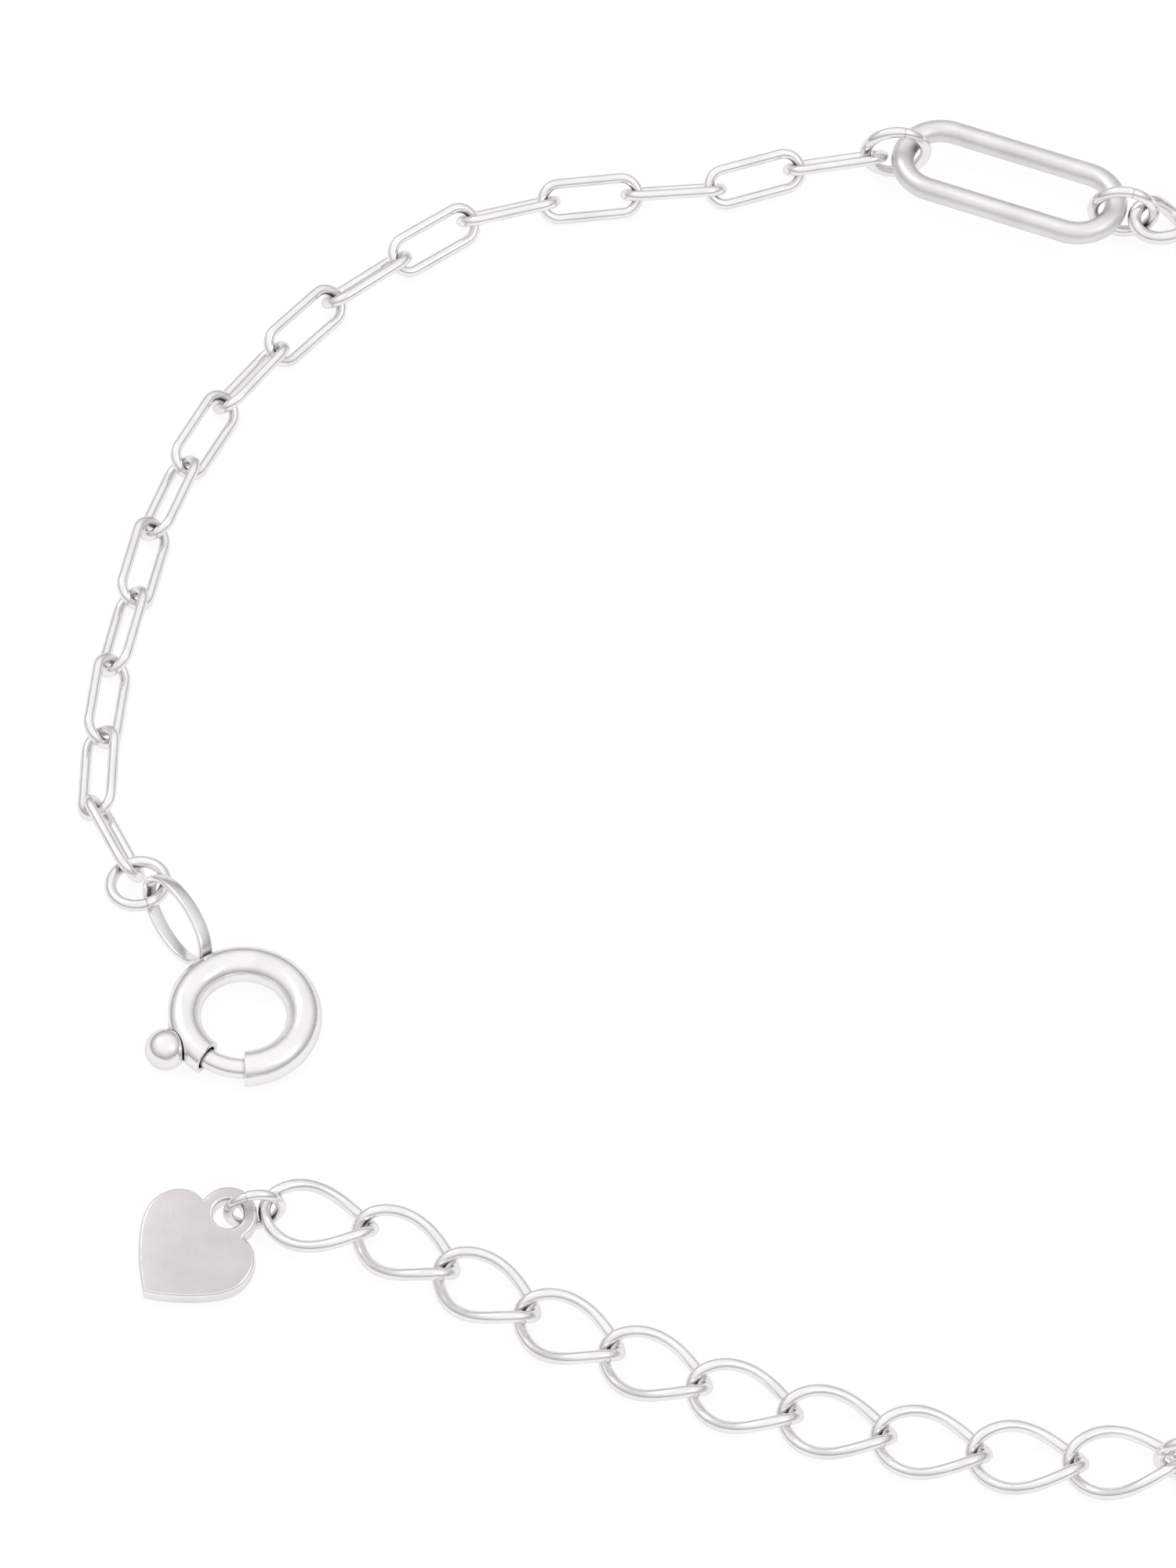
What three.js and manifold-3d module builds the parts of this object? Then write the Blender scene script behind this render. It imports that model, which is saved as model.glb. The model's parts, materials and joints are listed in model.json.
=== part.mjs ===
// A silver bracelet of mixed chain, laid unfastened on a flat surface at z = 0.
// Millimetres, +Z up, +X to the right and +Y away from the viewer.

import * as THREE from 'three';
import { mergeVertices } from 'three/addons/utils/BufferGeometryUtils.js';
import Module from 'manifold-3d';

const wasm = await Module();
wasm.setup();

// Driving dimensions: outer lengths and widths, and wire thicknesses
const LINK_GAP = 0.12; // between two wires that interlock
const RING_GAP = 0.24; // the same where a ring crosses a wire above or below its middle
const SOLDER_DEPTH = 0.1; // how far fused wires sink into each other

const PAPERCLIP = { length: 4.4, width: 1.86, wire: 0.42 };
const EXTENDER = { length: 4.62, width: 3.0, wire: 0.46, twist: 45 };
const CURB = { length: 3.05, width: 2.25, wire: 0.55, twist: 45 };
const LONG_LINK = { length: 10.05, width: 4.14, wire: 0.93 };
const STATION_RING = { length: 2.94, width: 2.94, wire: 0.45 };
const CLASP_RING = { length: 2.62, width: 2.62, wire: 0.46 };
const EXTENDER_RING = { length: 2.8, width: 2.8, wire: 0.45 };
const TAG_RING = { length: 2.4, width: 2.4, wire: 0.4 };

const CASE_DIAMETER = 6.0; // outside of the spring-ring clasp
const CASE_TUBE = 1.36;
const CASE_WALL = 0.2;
const BOLT_THICKNESS = 0.78;
const KNOB_DIAMETER = 1.6;
const KNOB_GAP = 0.06; // between the knob and the case
const KNOB_SINK = 0.48; // how far the ball reaches over the case
const STEM_THICKNESS = 0.5;
const SLOT_GAP = 0.1; // on each side of the stem
const TAIL_LENGTH = 4.25; // of the strip loop, from the case outwards
const TAIL_HEIGHT = 2.3;
const TAIL_STRIP_WIDTH = 0.6;
const TAIL_STRIP_THICKNESS = 0.24;

const TAG_THICKNESS = 0.8;
const TAG_HALF_WIDTH = 2.42;
const TAG_LENGTH = 4.18; // from the tip to the tops of the lobes
const TAG_EAR_RADIUS = 1.1;
const TAG_HOLE_RADIUS = 0.58;
const TAG_HOLE_TO_TIP = 4.42;

// Angles of the clasp, in degrees in its own plane
const MOUTH_LEFT = 234;
const MOUTH_RIGHT = 272;
const KNOB_ANGLE = 207.6;
const KNOB_TRAVEL = 44;
const BOLT_SEAT = 6; // how far the shut bolt reaches into the right end of the case
const BOLT_TAIL = 14; // how far the bolt reaches behind the knob
const CASE_HOLLOW_END = 120;
const TAIL_ANGLE = 122;
const TAIL_LEAN = -24;
const CLASP_TILT = 3.9;

const WIRE_SIDES = 6;
const ROUND_STEPS = 14; // corners round a link or ring
const CURB_STEPS = 10;
const CASE_SIDES = 12;
const HOLLOW_SIDES = 10;
const BOLT_SIDES = 8;
const BEND_STEP = 13; // degrees of the clasp's bend for each step
const HEART_CURVE_STEPS = 7;
const TAIL_CURVE_STEPS = 9;
const SLOT_CURVE_STEPS = 6;
const KNOB_SIDES = 14;
const KNOB_RINGS = 10;
const CLEARANCE_STEPS = 60; // round the whole clasp
const EAR_SIDES = 24;
const HOLE_SIDES = 16;
const REST_SAMPLES = 200; // round a twisted link, to find its lowest wire
const ARC_SAMPLES = 2000;
const ARC_PASSES = 40; // each halves the range of widths of the curb chain's arc
const NARROWEST_ARC = 0.5; // against a half circle
const WIDEST_ARC = 1.5;
const WELD = 1e-5; // corners closer than this are one

// Where things lie
const CASE_CENTRE = { x: -13.17, y: -11.51 };
const TAG_HOLE_FROM_CASE = { x: -0.36, y: -9.16 };
const TAG_RING_DROP = 0.1;
const TAG_RING_LIFT = 0.25; // between the tag's ear and the ring under it
const HOOK_SLACK = 0.334; // from the clasp ring's wire to the tail loop's end
const HOOK_DROP = 0.169;
const RING_DROP = 0.36; // from an upright ring's middle to the chain wires in it
const LONG_LINK_DROP = 0.08; // below the middle of the rings that carry it
const TAG_HEADING = 45; // from the tip to the hole
const TAG_RING_HEADING = 9;
const CLASP_RING_TILT = -3.58; // far side up
const CLASP_RING_LEAN = -4.32; // right side up
const CLASP_RING_HOOK_ANGLE = -42; // where the tail loop holds it
const CLASP_RING_LINK_ANGLE = 109.4; // where the first link holds it
const CLASP_RING_DROP = 0.02; // of the first link's end below the ring's wire
const CLASP_RING_GAP = 0.178; // between the first link's wire and the ring's

// Rows run from the clasp to the long link. A heading is measured from +X, a roll from lying flat,
// and a rise is the slope of the link along its heading.
const PAPERCLIP_ROWS = [
  { heading: 116.1, roll: 60.8, rise: 0 },
  { heading: 88.8, roll: -37.7, rise: 0 },
  { heading: 84, roll: 45, rise: 0 },
  { heading: 78.5, roll: -45, rise: 0 },
  { heading: 78, roll: 45, rise: 0 },
  { heading: 70.5, roll: -40, rise: 0 },
  { heading: 63.5, roll: 45, rise: 0 },
  { heading: 54, roll: -45, rise: 0 },
  { heading: 49, roll: 45, rise: 0 },
  { heading: 39, roll: -45, rise: 0 },
  { heading: 36.5, roll: 45, rise: 0 },
  { heading: 16, roll: -45, rise: 0 },
  { heading: 7, roll: 45, rise: 0 },
  { heading: 4.5, roll: -45, rise: 0 },
  { heading: 19, roll: 45, rise: 0 },
  { heading: 4, roll: -42, rise: 8 },
];
const LEFT_RING_HEADING = 2;
const RIGHT_RING_HEADING = -5;
const LONG_LINK_HEADING = -22;
const CURB_RISE = 18; // of its first and last links, towards their rings

// The right half of the heart from its tip: curve ends and their two control points, as shares of
// the half width and of the length from the tip
const HEART_HALF = [
  { side: 0, up: 0 },
  { side: 0.31, up: 0.1 },
  { side: 1, up: 0.44 },
  { side: 1, up: 0.67 },
  { side: 1, up: 0.86 },
  { side: 0.8, up: 1 },
  { side: 0.53, up: 1 },
  { side: 0.3, up: 1 },
  { side: 0.1, up: 0.95 },
  { side: 0, up: 0.85 },
];

// Rows run from the tag to the curb chain
const EXTENDER_ROWS = [
  { heading: -9.5, rise: -6 },
  { heading: -31.5, rise: 0 },
  { heading: -32, rise: 0 },
  { heading: -28, rise: 0 },
  { heading: -25, rise: 0 },
  { heading: -20, rise: 0 },
  { heading: -15, rise: 0 },
  { heading: -12.5, rise: 0 },
  { heading: -6.5, rise: 0 },
  { heading: -3, rise: 7 },
];
const EXTENDER_RING_HEADING = 0;

// Materials
const silver = new THREE.MeshStandardMaterial({ color: 0xdedad8, roughness: 0.14, metalness: 1 });
const satinSilver = new THREE.MeshStandardMaterial({ color: 0xd6d2d1, roughness: 0.34, metalness: 1 });

const bracelet = new THREE.Group();

// Small helpers
const radians = THREE.MathUtils.degToRad;

function direction(heading, rise = 0) {
  const flat = Math.cos(radians(rise));
  const x = flat * Math.cos(radians(heading));
  const y = flat * Math.sin(radians(heading));
  return new THREE.Vector3(x, y, Math.sin(radians(rise)));
}

function placement(centre, heading, rise, roll) {
  const forward = direction(heading, rise);
  const left = direction(heading + 90);
  const up = forward.clone().cross(left);
  const width = left.clone().multiplyScalar(Math.cos(radians(roll)));
  width.addScaledVector(up, Math.sin(radians(roll)));
  const normal = forward.clone().cross(width);
  return new THREE.Matrix4().makeBasis(forward, width, normal).setPosition(centre);
}

function addPiece(name, geometry, matrix, material) {
  const mesh = new THREE.Mesh(geometry, material);
  mesh.name = name;
  mesh.applyMatrix4(matrix);
  bracelet.add(mesh);
  return mesh;
}

function numbered(name, index) {
  return `${name}_${String(index + 1).padStart(2, '0')}`;
}

function solidOf(geometry, matrix = new THREE.Matrix4()) {
  const bare = geometry.index ? geometry.clone() : mergeVertices(geometry.clone());
  bare.deleteAttribute('normal');
  bare.deleteAttribute('uv');
  bare.applyMatrix4(matrix);
  const merged = mergeVertices(bare, WELD);
  return new wasm.Manifold(
    new wasm.Mesh({
      numProp: 3,
      vertProperties: new Float32Array(merged.attributes.position.array),
      triVerts: new Uint32Array(merged.index.array),
    }),
  );
}

function geometryOf(solid) {
  const mesh = solid.getMesh();
  const geometry = new THREE.BufferGeometry();
  geometry.setAttribute('position', new THREE.BufferAttribute(mesh.vertProperties, 3));
  geometry.setIndex(new THREE.BufferAttribute(mesh.triVerts, 1));
  geometry.computeVertexNormals();
  return geometry;
}

// Wire loops: each curve gives its own corners at equal steps of t
class StadiumLoop extends THREE.Curve {
  constructor(size, steps) {
    super();
    this.bend = (size.width - size.wire) / 2;
    this.straight = (size.length - size.width) / 2;
    this.steps = steps;
  }

  getPoint(t, target = new THREE.Vector3()) {
    const half = this.steps / 2;
    const step = t * this.steps;
    const side = step < half ? 1 : -1;
    const along = step < half ? step : step - half;
    const arc = Math.min(along / (half - 1), 1);
    const angle = Math.PI * (arc - 0.5);
    const slide = Math.max(along - (half - 1), 0);
    const x = this.straight * (1 - 2 * slide) + this.bend * Math.cos(angle);
    const y = this.bend * Math.sin(angle);
    return target.set(side * x, side * y, 0);
  }

  getPointAt(u, target) {
    return this.getPoint(u, target);
  }

  getTangentAt(u, target) {
    return this.getTangent(u, target);
  }
}

class TwistedLoop extends THREE.Curve {
  constructor(size) {
    super();
    this.halfLength = (size.length - size.wire) / 2;
    this.halfWidth = (size.width - size.wire) / 2;
    this.twist = radians(size.twist);
  }

  getPoint(t, target = new THREE.Vector3()) {
    const share = Math.cos(2 * Math.PI * t);
    const reach = this.halfWidth * Math.sin(2 * Math.PI * t);
    const angle = -this.twist * share;
    return target.set(this.halfLength * share, reach * Math.cos(angle), reach * Math.sin(angle));
  }

  getPointAt(u, target) {
    return this.getPoint(u, target);
  }

  getTangentAt(u, target) {
    return this.getTangent(u, target);
  }
}

function stadiumLink(size) {
  const loop = new StadiumLoop(size, ROUND_STEPS);
  return new THREE.TubeGeometry(loop, ROUND_STEPS, size.wire / 2, WIRE_SIDES, true);
}

function twistedLink(size, steps) {
  return new THREE.TubeGeometry(new TwistedLoop(size), steps, size.wire / 2, WIRE_SIDES, true);
}

function roundRing(size) {
  return new THREE.TorusGeometry((size.length - size.wire) / 2, size.wire / 2, WIRE_SIDES, ROUND_STEPS);
}

// Distance from a loop's centre to the point where it meets the next wire. A ring reaches less far
// when its neighbour's wire crosses it above or below its middle, by drop.
function reachOf(size, next, drop = 0, gap = drop > 0 ? RING_GAP : LINK_GAP) {
  const apart = (size.wire + next.wire) / 2 + gap;
  const inside = (size.length - size.wire) / 2 - apart;
  return Math.sqrt(inside * inside - drop * drop) + apart / 2;
}

// Heights at which pieces rest on the surface
function rolledRest(size, roll) {
  return ((size.width - size.wire) / 2) * Math.sin(radians(Math.abs(roll))) + size.wire / 2;
}

function twistedRest(size) {
  let lowest = 0;
  for (const sample of new Array(REST_SAMPLES).keys()) {
    lowest = Math.min(lowest, new TwistedLoop(size).getPoint(sample / REST_SAMPLES).z);
  }
  return size.wire / 2 - lowest;
}

// The walk: from one meeting point, a link is centred half its reach further on
function stepOn(start, heading, rise, reachBack, reachOn, rest) {
  const flat = Math.cos(radians(rise));
  const centre = start.clone().addScaledVector(direction(heading), reachBack * flat);
  const end = centre.clone().addScaledVector(direction(heading), reachOn * flat);
  centre.z = rest + Math.abs(Math.sin(radians(rise))) * reachBack;
  return { centre, end };
}

// The clasp lies in its own tilted plane, with its tail end raised
const caseRadius = (CASE_DIAMETER - CASE_TUBE) / 2;
const caseHeight = caseRadius * Math.sin(radians(CLASP_TILT)) + CASE_TUBE / 2;
const tiltAxis = direction(TAIL_ANGLE - 90);
const claspFrame = new THREE.Matrix4()
  .makeRotationAxis(tiltAxis, radians(CLASP_TILT))
  .setPosition(CASE_CENTRE.x, CASE_CENTRE.y, caseHeight);

// A tube bent round the clasp's centre, from one angle to another
class BentAxis extends THREE.Curve {
  constructor(radius, from, to) {
    super();
    this.radius = radius;
    this.from = from;
    this.to = to;
  }

  getPoint(t, target = new THREE.Vector3()) {
    const angle = radians(this.from + (this.to - this.from) * t);
    return target.set(this.radius * Math.cos(angle), this.radius * Math.sin(angle), 0);
  }
}

function circle(radius, sides) {
  const shape = new THREE.Shape();
  for (const corner of new Array(sides).keys()) {
    const angle = (2 * Math.PI * corner) / sides;
    const point = [radius * Math.cos(angle), radius * Math.sin(angle)];
    if (corner === 0) {
      shape.moveTo(...point);
    } else {
      shape.lineTo(...point);
    }
  }
  shape.closePath();
  return shape;
}

function bentTube(thickness, from, to, sides) {
  const steps = Math.max(3, Math.ceil(Math.abs(to - from) / BEND_STEP));
  return solidOf(
    new THREE.ExtrudeGeometry(circle(thickness / 2, sides), {
      steps,
      extrudePath: new BentAxis(caseRadius, from, to),
    }),
  );
}

function tailStrip() {
  const outer = new THREE.Shape();
  outer.absellipse(0, 0, TAIL_LENGTH / 2, TAIL_HEIGHT / 2, 0, 2 * Math.PI);
  const inner = new THREE.Path();
  const innerLength = TAIL_LENGTH / 2 - TAIL_STRIP_THICKNESS;
  const innerHeight = TAIL_HEIGHT / 2 - TAIL_STRIP_THICKNESS;
  inner.absellipse(0, 0, innerLength, innerHeight, 0, 2 * Math.PI);
  outer.holes.push(inner);
  const strip = new THREE.ExtrudeGeometry(outer, {
    depth: TAIL_STRIP_WIDTH,
    bevelEnabled: false,
    curveSegments: TAIL_CURVE_STEPS,
  });
  strip.translate(0, 0, -TAIL_STRIP_WIDTH / 2);
  return strip;
}

const tailCentreRadius = caseRadius + CASE_TUBE / 2 - SOLDER_DEPTH + TAIL_LENGTH / 2;

function tailFrame() {
  const centre = direction(TAIL_ANGLE).multiplyScalar(tailCentreRadius);
  return placement(centre, TAIL_ANGLE, 0, 90 - TAIL_LEAN);
}

const slotMargin = (STEM_THICKNESS / 2 + SLOT_GAP) / (caseRadius + CASE_TUBE / 2);

function slotCutter() {
  const sector = new THREE.Shape();
  const near = caseRadius;
  const far = caseRadius + CASE_TUBE;
  const from = radians(KNOB_ANGLE - KNOB_TRAVEL) - slotMargin;
  const to = radians(KNOB_ANGLE) + slotMargin;
  sector.absarc(0, 0, far, from, to, false);
  sector.absarc(0, 0, near, to, from, true);
  const depth = STEM_THICKNESS + 2 * SLOT_GAP;
  const cutter = new THREE.ExtrudeGeometry(sector, {
    depth,
    bevelEnabled: false,
    curveSegments: SLOT_CURVE_STEPS,
  });
  cutter.translate(0, 0, -depth / 2);
  return cutter;
}

function claspCase() {
  const length = 360 - (MOUTH_RIGHT - MOUTH_LEFT);
  const shell = bentTube(CASE_TUBE, MOUTH_RIGHT, MOUTH_RIGHT + length, CASE_SIDES);
  const bore = CASE_TUBE - 2 * CASE_WALL;
  const hollow = bentTube(bore, CASE_HOLLOW_END, MOUTH_LEFT + BOLT_SEAT, HOLLOW_SIDES);
  const socket = bentTube(bore, MOUTH_RIGHT - BOLT_SEAT, MOUTH_RIGHT + 2 * BOLT_SEAT, HOLLOW_SIDES);
  const tail = solidOf(tailStrip(), tailFrame());
  return shell.add(tail).subtract(hollow).subtract(socket).subtract(solidOf(slotCutter()));
}

function claspBolt() {
  const bolt = bentTube(BOLT_THICKNESS, KNOB_ANGLE - BOLT_TAIL, MOUTH_RIGHT + BOLT_SEAT, BOLT_SIDES);
  const knobRadius = KNOB_DIAMETER / 2;
  const knobCentre = caseRadius + CASE_TUBE / 2 + knobRadius - KNOB_SINK;
  const towardsKnob = direction(KNOB_ANGLE);
  const stemLength = knobCentre - caseRadius;
  const stem = new THREE.CylinderGeometry(STEM_THICKNESS / 2, STEM_THICKNESS / 2, stemLength, BOLT_SIDES);
  stem.rotateZ(-Math.PI / 2);
  stem.translate(caseRadius + stemLength / 2, 0, 0);
  stem.rotateZ(radians(KNOB_ANGLE));
  const knob = new THREE.SphereGeometry(knobRadius, KNOB_SIDES, KNOB_RINGS);
  knob.translate(towardsKnob.x * knobCentre, towardsKnob.y * knobCentre, 0);
  const clearance = CASE_TUBE / 2 + KNOB_GAP;
  const clear = new THREE.TorusGeometry(caseRadius, clearance, KNOB_SIDES, CLEARANCE_STEPS);
  const seatedKnob = solidOf(knob).subtract(solidOf(clear));
  return bolt.add(solidOf(stem)).add(seatedKnob);
}

addPiece('clasp_case', geometryOf(claspCase()), claspFrame, silver);
addPiece('clasp_bolt', geometryOf(claspBolt()), claspFrame, silver);

// The jump ring held by the tail loop
function claspRingFrame() {
  const hookReach = TAIL_LENGTH / 2 - TAIL_STRIP_THICKNESS - CLASP_RING.wire / 2 - HOOK_SLACK;
  const hook = new THREE.Vector3(hookReach, -HOOK_DROP, 0).applyMatrix4(tailFrame());
  hook.applyMatrix4(claspFrame);
  const lean = new THREE.Matrix4().makeRotationY(radians(CLASP_RING_LEAN));
  const frame = new THREE.Matrix4().makeRotationX(radians(CLASP_RING_TILT)).multiply(lean);
  const spoke = direction(CLASP_RING_HOOK_ANGLE).multiplyScalar((CLASP_RING.length - CLASP_RING.wire) / 2);
  const centre = hook.sub(spoke.applyMatrix4(frame));
  return frame.setPosition(centre);
}

const claspRing = claspRingFrame();
addPiece('clasp_ring', roundRing(CLASP_RING), claspRing, silver);

// The paperclip chain, from the clasp ring onwards
const firstReach = reachOf(CLASP_RING, PAPERCLIP, CLASP_RING_DROP, CLASP_RING_GAP);
let meeting = direction(CLASP_RING_LINK_ANGLE).multiplyScalar(firstReach).applyMatrix4(claspRing);
PAPERCLIP_ROWS.forEach((row, index) => {
  const before = index === 0 ? CLASP_RING : PAPERCLIP;
  const after = index === PAPERCLIP_ROWS.length - 1 ? STATION_RING : PAPERCLIP;
  const rest = rolledRest(PAPERCLIP, row.roll);
  const back = reachOf(PAPERCLIP, before);
  const on = reachOf(PAPERCLIP, after);
  const { centre, end } = stepOn(meeting, row.heading, row.rise, back, on, rest);
  const frame = placement(centre, row.heading, row.rise, row.roll);
  addPiece(numbered('paperclip_link', index), stadiumLink(PAPERCLIP), frame, silver);
  meeting = end;
});

// Two upright rings carry the long link between them
const stationHeight = STATION_RING.length / 2;

function dropTo(neighbour) {
  return neighbour === LONG_LINK ? LONG_LINK_DROP : RING_DROP;
}

function addStationRing(name, start, heading, before, after) {
  const back = reachOf(STATION_RING, before, dropTo(before));
  const on = reachOf(STATION_RING, after, dropTo(after));
  const { centre, end } = stepOn(start, heading, 0, back, on, stationHeight);
  addPiece(name, roundRing(STATION_RING), placement(centre, heading, 0, 90), silver);
  return end;
}

meeting = addStationRing('station_ring_left', meeting, LEFT_RING_HEADING, PAPERCLIP, LONG_LINK);
const longReach = reachOf(LONG_LINK, STATION_RING);
const longHeight = stationHeight - LONG_LINK_DROP;
const longStep = stepOn(meeting, LONG_LINK_HEADING, 0, longReach, longReach, longHeight);
addPiece('long_link', stadiumLink(LONG_LINK), placement(longStep.centre, LONG_LINK_HEADING, 0, 0), silver);
meeting = addStationRing('station_ring_right', longStep.end, RIGHT_RING_HEADING, LONG_LINK, CURB);
const curbStart = meeting.clone();

// The heart tag leans on its near edge, with its ear lifted by the ring that passes under it
function heartOutline() {
  const right = HEART_HALF.map((row) => ({
    x: row.side * TAG_HALF_WIDTH,
    y: row.up * TAG_LENGTH - TAG_HOLE_TO_TIP,
  }));
  const left = right.map((point) => ({ x: -point.x, y: point.y })).reverse();
  const corners = [...right, ...left.slice(1)];
  const shape = new THREE.Shape();
  shape.moveTo(corners[0].x, corners[0].y);
  for (let index = 1; index < corners.length; index += 3) {
    const [first, second, end] = corners.slice(index, index + 3);
    shape.bezierCurveTo(first.x, first.y, second.x, second.y, end.x, end.y);
  }
  return shape;
}

function heartTag() {
  const plate = new THREE.ExtrudeGeometry(heartOutline(), {
    depth: TAG_THICKNESS,
    bevelEnabled: false,
    curveSegments: HEART_CURVE_STEPS,
  });
  const ear = new THREE.CylinderGeometry(TAG_EAR_RADIUS, TAG_EAR_RADIUS, TAG_THICKNESS, EAR_SIDES);
  ear.rotateX(Math.PI / 2);
  ear.translate(0, 0, TAG_THICKNESS / 2);
  const through = 3 * TAG_THICKNESS;
  const hole = new THREE.CylinderGeometry(TAG_HOLE_RADIUS, TAG_HOLE_RADIUS, through, HOLE_SIDES);
  hole.rotateX(Math.PI / 2);
  return solidOf(plate).add(solidOf(ear)).subtract(solidOf(hole));
}

function tagFrame() {
  const turn = new THREE.Matrix4().makeRotationZ(radians(TAG_HEADING - 90));
  const near = heartOutline()
    .getPoints(HEART_CURVE_STEPS)
    .map((point) => new THREE.Vector3(point.x, point.y, 0).applyMatrix4(turn).y);
  const holeToEdge = -Math.min(...near);
  const lift = TAG_RING.wire + TAG_RING_LIFT;
  const lean = new THREE.Matrix4().makeRotationX(Math.asin(lift / holeToEdge));
  const x = CASE_CENTRE.x + TAG_HOLE_FROM_CASE.x;
  const y = CASE_CENTRE.y + TAG_HOLE_FROM_CASE.y;
  return lean.multiply(turn).setPosition(x, y, lift);
}

const tagPlace = tagFrame();
addPiece('heart_tag', geometryOf(heartTag()), tagPlace, satinSilver);

// The tag ring stands upright through the tag's hole
const tagHole = new THREE.Vector3().setFromMatrixPosition(tagPlace);
const tagRingRadius = (TAG_RING.length - TAG_RING.wire) / 2;
const tagRingCentre = tagHole.clone().addScaledVector(direction(TAG_RING_HEADING), tagRingRadius);
tagRingCentre.z = TAG_RING.length / 2;
addPiece('tag_ring', roundRing(TAG_RING), placement(tagRingCentre, TAG_RING_HEADING, 0, 90), silver);

// The extender, from the tag ring onwards
meeting = tagRingCentre.clone();
meeting.addScaledVector(direction(TAG_RING_HEADING), reachOf(TAG_RING, EXTENDER, TAG_RING_DROP));
EXTENDER_ROWS.forEach((row, index) => {
  const before = index === 0 ? TAG_RING : EXTENDER;
  const after = index === EXTENDER_ROWS.length - 1 ? EXTENDER_RING : EXTENDER;
  const back = reachOf(EXTENDER, before);
  const on = reachOf(EXTENDER, after);
  const { centre, end } = stepOn(meeting, row.heading, row.rise, back, on, twistedRest(EXTENDER));
  const frame = placement(centre, row.heading, row.rise, 0);
  addPiece(numbered('extender_link', index), twistedLink(EXTENDER, ROUND_STEPS), frame, silver);
  meeting = end;
});

const extenderRingStep = stepOn(
  meeting,
  EXTENDER_RING_HEADING,
  0,
  reachOf(EXTENDER_RING, EXTENDER, RING_DROP),
  reachOf(EXTENDER_RING, CURB, RING_DROP),
  EXTENDER_RING.length / 2,
);
const extenderRingFrame = placement(extenderRingStep.centre, EXTENDER_RING_HEADING, 0, 90);
addPiece('extender_ring', roundRing(EXTENDER_RING), extenderRingFrame, silver);
const curbEnd = extenderRingStep.end;

// The curb chain takes the plain way round: half an ellipse from one ring to the other, close to a
// half circle, and as long as its whole number of links
const curbFused = CURB.length - 2 * CURB.wire + SOLDER_DEPTH;
const curbLoose = CURB.length - 2 * CURB.wire - 2 * LINK_GAP;

function curbEllipse(bulge) {
  const middle = curbStart.clone().add(curbEnd).multiplyScalar(0.5);
  const across = curbStart.clone().sub(curbEnd);
  const turn = Math.atan2(across.y, across.x) - Math.PI / 2;
  const half = Math.hypot(across.x, across.y) / 2;
  const arc = new THREE.EllipseCurve(middle.x, middle.y, bulge, half, Math.PI / 2, -Math.PI / 2, true, turn);
  arc.arcLengthDivisions = ARC_SAMPLES;
  return arc;
}

function curbRoute() {
  const startReach = reachOf(CURB, STATION_RING);
  const endReach = reachOf(CURB, EXTENDER_RING);
  const roundBulge = curbStart.distanceTo(curbEnd) / 2;
  const plain = curbEllipse(roundBulge).getLength();
  const count = Math.round((plain - startReach - endReach) / curbFused) + 1;
  const firstCount = Math.ceil(count / 2);
  const wanted = startReach + endReach + (count - 2) * curbFused + curbLoose;
  let narrow = NARROWEST_ARC * roundBulge;
  let wide = WIDEST_ARC * roundBulge;
  for (let pass = 0; pass < ARC_PASSES; pass += 1) {
    const bulge = (narrow + wide) / 2;
    if (curbEllipse(bulge).getLength() < wanted) {
      narrow = bulge;
    } else {
      wide = bulge;
    }
  }
  return { arc: curbEllipse(wide), count, firstCount, startReach, wanted };
}

function addCurbChain() {
  const { arc, count, firstCount, startReach, wanted } = curbRoute();
  const link = solidOf(twistedLink(CURB, CURB_STEPS));
  const rest = twistedRest(CURB);
  const halves = [null, null];
  for (let index = 0; index < count; index += 1) {
    const half = index < firstCount ? 0 : 1;
    const slack = half * (curbLoose - curbFused);
    const share = (startReach + index * curbFused + slack) / wanted;
    const point = arc.getPointAt(share);
    const tangent = arc.getTangentAt(share);
    const heading = (Math.atan2(tangent.y, tangent.x) * 180) / Math.PI;
    const rise = CURB_RISE * (Number(index === count - 1) - Number(index === 0));
    const height = rest + Math.abs(Math.sin(radians(rise))) * startReach;
    const centre = new THREE.Vector3(point.x, point.y, height);
    const placed = link.transform(placement(centre, heading, rise, 0).elements);
    halves[half] = halves[half] ? halves[half].add(placed) : placed;
  }
  halves.forEach((solid, half) => {
    addPiece(numbered('curb_chain', half), geometryOf(solid), new THREE.Matrix4(), silver);
  });
}

addCurbChain();

// The origin is the middle of the bracelet's box, on the surface
const box = new THREE.Box3().setFromObject(bracelet, true);
const middle = box.getCenter(new THREE.Vector3());
bracelet.position.set(-middle.x, -middle.y, -box.min.z);

export default bracelet;
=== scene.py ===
# A silver bracelet of mixed chain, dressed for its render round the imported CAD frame.
# Metres, +Z up, +X to the right of the photograph and +Y away from the viewer.
import json
import math

import bmesh
import bpy
import numpy as np
from mathutils import Matrix, Vector


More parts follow.
